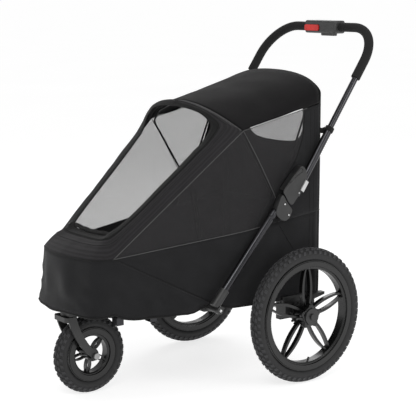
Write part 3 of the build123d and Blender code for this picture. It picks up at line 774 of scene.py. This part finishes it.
def cushion():
    """A quilted pad on the floor board, swollen by cloth simulation."""
    low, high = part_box("cushion")
    outline = [(0.105, low.y + 0.012), (0.186, TAPER_Y), (0.186, high.y - 0.012)]
    rows = []
    for t in steps(0, 1, 9):
        inset = 0.006 * (2 * t - 1) ** 2
        z = lerp(low.z + 0.004, high.z - 0.006, t)
        half = smooth_corners([(x - inset, y) for x, y in outline])
        rows.append([Vector((x, y, z)) for x, y in half + [(-x, y) for x, y in reversed(half)]])
    count = len(rows[0])
    faces = quads(len(rows), count) + caps(len(rows), count)
    pad = outward(mesh_object("cushion_pad", [p for row in rows for p in row], faces, pad_cloth))
    remesh = pad.modifiers.new("remesh", "REMESH")
    remesh.mode, remesh.voxel_size = "VOXEL", 0.006
    apply_modifiers(pad)
    inflate(pad, 0.007)
    for vertex in pad.data.vertices:
        p = vertex.co
        if p.z > lerp(low.z, high.z, 0.5):
            near = min(abs(p.y - y) for y in QUILT_SEAMS)
            p.z -= 0.0075 * max(0.0, 1 - near / 0.014) ** 2
        p.z = max(p.z, low.z)
    soft = pad.modifiers.new("smooth", "SUBSURF")
    soft.levels = soft.render_levels = 1
    apply_modifiers(pad)
    pad.data.shade_smooth()
    place(pad, "chassis", "cushion_fabric", "cushion")


def smooth_corners(points):
    """The half outline from front to rear, with rounded corners and enough points to bend."""
    line = [Vector((0.06, points[0][1] - 0.002, 0)), *[Vector((x, y, 0)) for x, y in points],
            Vector((0.14, points[-1][1], 0))]
    return [(p.x, p.y) for p in smooth_line(line, 40)]


def apply_modifiers(piece):
    graph = bpy.context.evaluated_depsgraph_get()
    baked = bpy.data.meshes.new_from_object(piece.evaluated_get(graph))
    piece.modifiers.clear()
    piece.data = baked


def inflate(piece, limit):
    """Swells a pad by cloth simulation; no point moves further than limit."""
    start = [v.co.copy() for v in piece.data.vertices]
    sim = piece.modifiers.new("swell", "CLOTH")
    sim.settings.use_pressure = True
    sim.settings.uniform_pressure_force = 4.0
    sim.settings.effector_weights.gravity = 0.0
    sim.settings.quality = 5
    sim.collision_settings.use_collision = False
    scene = bpy.context.scene
    for step in range(1, 21):
        scene.frame_set(step)
    apply_modifiers(piece)
    for vertex, old in zip(piece.data.vertices, start):
        move = vertex.co - old
        if move.length > limit:
            vertex.co = old + move.normalized() * limit
    scene.frame_set(1)


# ---- tyres
def torus_point(centre, reach, theta, phi, r):
    """Phi is 0 at the tread and grows toward the outer side."""
    out = reach + r * cos(phi)
    return Vector((centre[0] + r * sin(phi), centre[1] + out * cos(theta), centre[2] + out * sin(theta)))


# Each row of tread blocks: first and last phi, shift along the tyre, and the share of the pitch it fills.
TREAD = [(0.04, 0.33, 0.0, 0.72), (-0.33, -0.04, 0.5, 0.72), (0.4, 0.74, 0.25, 0.62),
         (-0.74, -0.4, 0.75, 0.62), (0.8, 1.28, 0.0, 0.55), (-1.28, -0.8, 0.5, 0.55)]
TYRE_STEPS = 120


def tyre(name, node, section, body, pitches):
    """A pneumatic tyre: a carcass with bead ribs, and three staggered rows of blocks on each side."""
    low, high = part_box(node)
    centre, reach = (low + high) / 2, (high.z - low.z) / 2 - section
    height = section * 0.12
    profile = []
    for phi in steps(-pi, pi, 34)[:-1]:
        rib = 0.0009 if 1.75 < abs(phi) < 1.95 else -0.0012 if abs(phi) > 2.3 else 0.0
        profile.append((phi, section - height + rib))
    points = [torus_point(centre, reach, tau * i / TYRE_STEPS, phi, r)
              for i in range(TYRE_STEPS) for phi, r in profile]
    faces = quads(TYRE_STEPS, len(profile), wrap=True)
    smooth_faces = len(faces)
    pitch = tau / pitches
    for i in range(pitches):
        for start, end, shift, fill in TREAD:
            theta = (i + shift) * pitch
            tread_block(points, faces, centre, reach, section, height, theta, pitch * fill, start, end)
    made = mesh_object(name, points, faces, rubber)
    # The tread blocks take the lighter rubber, painted light on the tread.
    made.data.materials.append(tread_rubber)
    for face in made.data.polygons[smooth_faces:]:
        face.material_index = 1
    outward(made)
    made.data.set_sharp_from_angle(angle=radians(38))
    place(made, body, "tyre", node)


def tread_block(points, faces, centre, reach, section, height, theta, width, start, end):
    """Adds one block, whose foot is sunk in the carcass."""
    first = len(points)
    lean = 0.12 * width
    for level, inset in ((section - height * 1.2, 0.0), (section, 0.1)):
        for j in range(3):
            phi = lerp(start + inset * (end - start), end - inset * (end - start), j / 2)
            slant = lean * (1 if phi > 0 else -1) * j
            for side in (-0.5 + inset, 0.5 - inset):
                points.append(torus_point(centre, reach, theta + width * side + slant, phi, level))
    low = [first + k for k in (0, 2, 4, 5, 3, 1)]
    top = [k + 6 for k in low]
    for k in range(6):
        n = (k + 1) % 6
        faces.append((low[k], low[n], top[n], top[k]))
    a = first + 6
    faces += [(a, a + 2, a + 3, a + 1), (a + 2, a + 4, a + 5, a + 3)]


def valve(side, sign):
    """The air valve on the rim's inner ring: low on the left wheel, high on the right one."""
    low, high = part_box("rear_tyre_" + side)
    centre = (low + high) / 2
    inner = (high.z - low.z) / 2 - 0.044
    foot = centre + Vector((sign * 0.004, 0, -sign * inner))
    line = [foot + Vector((sign * 0.002 * k, 0, sign * 0.0052 * k)) for k in range(7)]
    sizes = (0.0042, 0.004, 0.0028, 0.0028, 0.0028, 0.0036, 0.0034)
    stem = tube("valve_stem_" + side, line, lambda t: sizes[min(6, round(t * 6))], plastic, 12)
    place(stem, "rear_wheel_" + side, "dark_plastic")


WHEEL_X, HUB_REACH, SCREW_CIRCLE = 0.286, 0.022, 0.0245
# The flange's profile: distance out from the hub's face, and scale.
FLANGE = ((-0.012, 0.8), (-0.01, 0.98), (0.0015, 1.0), (0.0035, 0.965), (0.0042, 0.9),
          (0.0042, 0.62), (0.0022, 0.58), (0.0022, 0.4), (0.0075, 0.36), (0.0085, 0.3))


def hub_flange(side, sign):
    """The five-lobed flange on the outer end of a rear hub, and the domed cap in its middle."""
    low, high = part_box("rear_tyre_" + side)
    y, z = (low.y + high.y) / 2, (low.z + high.z) / 2
    face = sign * (WHEEL_X + HUB_REACH)
    rings = []
    for x, scale in FLANGE:
        ring = []
        for k in range(80):
            a = tau * k / 80
            lobe = 0.0315 + 0.0065 * max(-0.35, cos(5 * a)) if scale > 0.6 else 0.036
            ring.append(Vector((face + sign * x, y + lobe * scale * sin(a), z + lobe * scale * cos(a))))
        rings.append(ring)
    flange = grid("hub_flange_" + side, rings, rim_black, loop=True)
    flange.data.set_sharp_from_angle(angle=radians(40))
    place(flange, "rear_wheel_" + side, "rim_plastic")
    for k in range(5):
        a = tau * (k + 0.5) / 5
        spot = Vector((face + sign * 0.0022, y + SCREW_CIRCLE * sin(a), z + SCREW_CIRCLE * cos(a)))
        screw = dome(f"flange_screw_{k}_{side}", spot, sign, 0.0028, 0.0018, steel)
        place(screw, "rear_wheel_" + side, "steel")


def dome(name, centre, sign, radius, rise, material):
    """A low round head on a side face."""
    rings = []
    for share in (1.0, 0.97, 0.85, 0.62, 0.34, 0.06):
        x = centre.x + sign * rise * (1 - share ** 2.4)
        rings.append([Vector((x, centre.y + radius * share * cos(tau * k / 20),
                              centre.z + radius * share * sin(tau * k / 20))) for k in range(20)])
    return grid(name, rings, material, loop=True)


# ---- folding hinge
LOWER_FACE = [(0.103, 0.5624), (0.1143, 0.5488), (0.1236, 0.5329), (0.1328, 0.5218), (0.1432, 0.5105),
              (0.1368, 0.4976), (0.1282, 0.4858), (0.1172, 0.4798), (0.103, 0.4828), (0.0888, 0.493),
              (0.0796, 0.506), (0.0815, 0.5158)]
UPPER_FACE = [(0.1037, 0.5674), (0.1106, 0.5747), (0.1245, 0.5907), (0.1435, 0.6111), (0.1596, 0.6255),
              (0.1715, 0.636), (0.18, 0.635), (0.187, 0.627), (0.1925, 0.615), (0.1925, 0.598),
              (0.182, 0.574), (0.166, 0.554), (0.151, 0.5381), (0.1406, 0.5261), (0.1335, 0.5268),
              (0.1263, 0.5331), (0.1191, 0.544), (0.1119, 0.5557)]
KNUCKLE_R = 0.0412      # the upper housing stays this far from the pivot; only its face plate comes nearer
LEG_END, LEG_ANGLE = (0.0758, 0.4988), radians(49.2)     # the top of the rear leg, as (y, z)
HOUSING_X = (0.2345, 0.2603)
PLATE_X = (0.2605, 0.2629)
GROOVE = [(0.1275, 0.5936), (0.1395, 0.6067), (0.1576, 0.621), (0.1698, 0.6287), (0.177, 0.6249),
          (0.175, 0.618), (0.1578, 0.6099), (0.1396, 0.5973), (0.1296, 0.5903)]


def softened(outline, passes=2):
    """The outline with its corners cut."""
    for _ in range(passes):
        cut = []
        for a, b in zip(outline, outline[1:] + outline[:1]):
            cut += [(lerp(a[0], b[0], t), lerp(a[1], b[1], t)) for t in (0.25, 0.75)]
        outline = cut
    return outline


def slab(name, outline, x_range, sign, material, edge=0.0014, draft=0.0):
    """A moulded plate: an outline between two x values, with rounded edges and a lean to the rear."""
    middle = sum((Vector((0, y, z)) for y, z in outline), Vector()) / len(outline)
    low, high = x_range
    levels = ((low, 2.0), (low, 1.0), (low + edge, 0.0), (high - edge, 0.0), (high - edge * 0.3, 0.35),
              (high, 1.0), (high, 2.2))
    rings = []
    for x, inset in levels:
        ring = []
        for y, z in outline:
            p = Vector((0, y, z))
            inward = (middle - p).normalized() * edge * inset
            back = draft * (high - x) / (high - low)
            ring.append(Vector((sign * x, y + inward.y + back, z + inward.z)))
        rings.append(ring)
    faces = quads(len(rings), len(outline)) + caps(len(rings), len(outline))
    made = outward(mesh_object(name, [p for ring in rings for p in ring], faces, material))
    made.data.set_sharp_from_angle(angle=radians(35))
    return made


def hinge_housings(side, sign):
    """The lower housing, and the upper one whose face plate overlaps it along an S-shaped seam."""
    lower = slab("hinge_lower_" + side, softened(LOWER_FACE), HOUSING_X, sign, plastic, 0.0022, 0.006)
    place(lower, "chassis", "dark_plastic", "lower_housing_" + side)
    pivot = Vector((HINGE_Y, HINGE_Z))
    clear = [p for p in UPPER_FACE if (Vector(p) - pivot).length > KNUCKLE_R + 0.001]
    arc = [(HINGE_Y + KNUCKLE_R * cos(radians(a)), HINGE_Z + KNUCKLE_R * sin(radians(a)))
           for a in range(14, 100, 12)]
    body = slab("hinge_upper_" + side, softened(clear, 1) + arc, HOUSING_X, sign, plastic, 0.0022, 0.005)
    plate = slab("hinge_face_" + side, softened(UPPER_FACE), PLATE_X, sign, plastic, 0.0008)
    place(body, "handle", "dark_plastic", "upper_housing_" + side)
    place(plate, "handle", "dark_plastic")
    # A cord of the blackest plastic along the groove: painted shade in the groove.
    groove = smooth_line([Vector((sign * PLATE_X[1], y, z)) for y, z in GROOVE + GROOVE[:1]], 48)
    place(tube("painted_shade_groove_" + side, groove, 0.0013, rim_black, 6), "handle", "rim_plastic")
    # A thin raised cord just inside the fin's upper edge; its lighter grey plastic is a painted highlight
    # along that edge.
    ridge = [Vector((sign * (PLATE_X[1] - 0.0002), y + 0.0035, z - 0.0045)) for y, z in UPPER_FACE[:6]]
    ridge = tube("painted_highlight_ridge_" + side, smooth_line(ridge, 24), 0.001, grey_moulding, 6)
    place(ridge, "handle", "grey_plastic")
    spot = Vector((sign * PLATE_X[1], 0.164, 0.5585))
    place(dome("slider_screw_" + side, spot, sign, 0.0024, 0.0016, silver), "handle", "silver")
    run = Vector((0, cos(LEG_ANGLE), sin(LEG_ANGLE)))
    foot = Vector((sign * TUBE_X, *LEG_END))
    sleeve = [foot + run * d for d in (-0.012, 0.0, 0.01, 0.018)]
    place(tube("leg_sleeve_" + side, sleeve, 0.0113, tube_metal, 20), "chassis", "frame_tube")


def rivets(side, sign):
    """Bright domed rivet heads on dark washers, at the pivot and the second bolt."""
    for k, (y, z) in enumerate(((HINGE_Y, HINGE_Z), (HINGE_Y + 0.015, HINGE_Z - 0.033))):
        seat = Vector((sign * (HOUSING_X[1] - 0.0002), y, z))
        washer = dome(f"rivet_washer_{k}_{side}", seat, sign, 0.0062, 0.0009, rim_black)
        place(washer, "chassis", "rim_plastic")
        head = dome(f"rivet_head_{k}_{side}", seat, sign, 0.0036, 0.0026, silver)
        place(head, "chassis", "silver")
    if sign > 0:
        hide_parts("hinge_bolts")


def connector_screw(side, sign):
    """A bright screw head on the joint between the front leg and the side rail."""
    seat = Vector((sign * 0.264, -0.1197, 0.25))
    place(dome("connector_cap_" + side, seat, sign, 0.0085, 0.0016, plastic), "chassis", "dark_plastic")
    seat = seat + Vector((sign * 0.0012, 0, 0))
    place(dome("connector_screw_" + side, seat, sign, 0.0046, 0.0022, silver), "chassis", "silver")


# ---- patches, floor and zip pullers
def hinge_patch(side, sign):
    """A doubled corner of cloth inside the net, behind the folding hinge."""
    lines = []
    for t in steps(0, 1, 9):
        z = lerp(0.466, 0.552, t)
        rear = broken_line([(0.466, 0.079), (0.5, 0.0875), (0.54, 0.0995), (0.552, 0.105)], z)
        front = rear - lerp(0.052, 0.012, t ** 1.4)
        lines.append([Vector((sign * (WALL_X - 0.0035), y, z)) for y in steps(front, rear, 9)])
    panel(grid("hinge_patch_" + side, lines, oxford, 0.001), 0.06, 0.09, 0.7)


FLOOR_Z = 0.2878


def cabin_floor():
    """The cabin's cloth floor, from wall to wall under the floor board."""
    plan = [(-0.468, 0.09), (-0.455, 0.124), (-0.44, 0.14), (-0.42, 0.147)]
    plan += [(y, wall_x(y) - 0.003) for y in steps(-0.4, BACK_Y - REAR_ROUND, 21)]
    plan.append((BACK_Y - 0.0025, REAR_FLAT))
    lines = []
    for y, half in plan:
        line = []
        for u in steps(-1, 1, 17):
            ripple = 0.0008 * noise.noise(Vector((u * 5, y * 14, 2)))
            line.append(Vector((half * u, y, FLOOR_Z - 0.002 * (1 - u * u) + ripple)))
        lines.append(line)
    panel(grid("cabin_floor_cloth", lines, oxford, 0.0012), 0.45, 0.75, 0.88, folds=False)


def zip_puller(name, at, along, across):
    """A slider with a short tape pull."""
    along, across = Vector(along).normalized(), Vector(across).normalized()
    body = [Vector(at) + along * d for d in (-0.005, -0.003, 0.003, 0.005)]
    slider = tube(name + "_slider", body, lambda t: 0.0034 if 0.2 < t < 0.8 else 0.0022,
                  plastic, 10, flat=0.7)
    place(slider, "chassis", "dark_plastic", folds=True)
    up = along.cross(across) * 0.002
    pull = [Vector(at) + along * (0.004 + 0.004 * k) + up * (1 if k else 1.6) for k in range(5)]
    pull = strap(name + "_pull", pull, across, 0.005, webbing, 0.0012)
    place(pull, "chassis", "black_fabric", folds=True)


# ---- straps to the handle
def rear_straps(side, sign):
    """A tape loop round the handle's arm, with a tab to the cabin's rear corner."""
    centre = Vector((sign * TUBE_X, 0.2893, 0.7337))
    down, across, radius = -ARM_WAY, Vector((1, 0, 0)), 0.0128
    other = down.cross(across)
    loop = [centre + across * radius * cos(a) + other * radius * sin(a) for a in steps(0, tau, 25)]
    place(strap("tube_loop_" + side, loop, down, 0.014, webbing), "handle", "black_fabric")
    start, end = centre + Vector((-sign * 0.0105, -0.0075, 0.0)), Vector((sign * 0.23, 0.267, 0.732))
    tab = [start.lerp(end, k / 6) + Vector((0, 0, -0.0025 * sin(pi * k / 6))) for k in range(7)]
    place(strap("tube_tab_" + side, tab, (0, 0, 1), 0.016, webbing, 0.002), "handle", "black_fabric")


# ---- floor, light and camera
def studio():
    finish = Material("studio_floor")
    finish.shade(Base_Color=finish.ramp(finish.noise(0.8), grey(0.5), grey(0.54)), Roughness=1.0,
                 Emission_Color=(1.0, 1.0, 1.0, 1.0), Emission_Strength=0.72, Specular_IOR_Level=0.0)
    reach = 260.0       # the floor runs out of the frame, or to the horizon
    corners = [(-reach, -reach, 0), (reach, -reach, 0), (reach, reach, 0), (-reach, reach, 0)]
    floor = mesh_object("floor", corners, [(0, 1, 2, 3)], finish.material, False)
    world = bpy.data.worlds.new("studio")
    world.use_nodes = True
    colour, strength = world.node_tree.nodes["Background"].inputs[:2]
    colour.default_value, strength.default_value = (1.0, 1.0, 1.0, 1.0), 0.52
    bpy.context.scene.world = world
    lights = (("key", (2.2, -2.6, 3.2), 1.8, 50), ("fill", (3.4, 1.2, 1.8), 1.4, 26),
              ("back", (-2.6, 2.4, 2.8), 2.2, 34), ("top", (0.0, 0.0, 3.4), 2.2, 8))
    for name, at, size, power in lights:
        data = bpy.data.lights.new(name, "AREA")
        data.energy, data.size = power, size
        lamp = bpy.data.objects.new(name, data)
        lamp.location = at
        lamp.rotation_euler = (Vector((0, 0, 0.5)) - Vector(at)).to_track_quat("-Z", "Y").to_euler()
        bpy.context.scene.collection.objects.link(lamp)


def camera():
    data = bpy.data.cameras.new("camera")
    data.sensor_width, data.lens = 36.0, 114.65
    data.clip_end = 400.0
    made = bpy.data.objects.new("camera", data)
    made.location = (3.15503, -2.29294, 1.13812)
    made.rotation_euler = (radians(90 - 9.3566), 0.0, radians(53.6386))
    bpy.context.scene.collection.objects.link(made)
    bpy.context.scene.camera = made


# ---- making it all
for side, sign in SIDES:
    side_walls(side, sign)
    side_seams(side, sign)
    hinge_housings(side, sign)
    rivets(side, sign)
    hub_flange(side, sign)
    connector_screw(side, sign)
    hinge_patch(side, sign)
    tyre("rear_tread_" + side, "rear_tyre_" + side, 0.0226, "rear_wheel_" + side, 60)
    valve(side, sign)
    rear_straps(side, sign)
apron()
front_band()
roof()
rear_wall()
folded_door()
cabin_floor()
zip_puller("nose_zip", (-0.098, -0.3935, 0.4745), (-0.5, 0.8, 0.3), (0.8, 0.5, 0.0))
zip_puller("top_zip", (0.012, -0.099, 0.8245), (1, 0, 0), (0, -0.5, 0.85))
cushion()
tyre("front_tread", "front_tyre", 0.0222, "front_wheel", 34)
studio()
camera()
bpy.context.scene.view_settings.view_transform = "Standard"
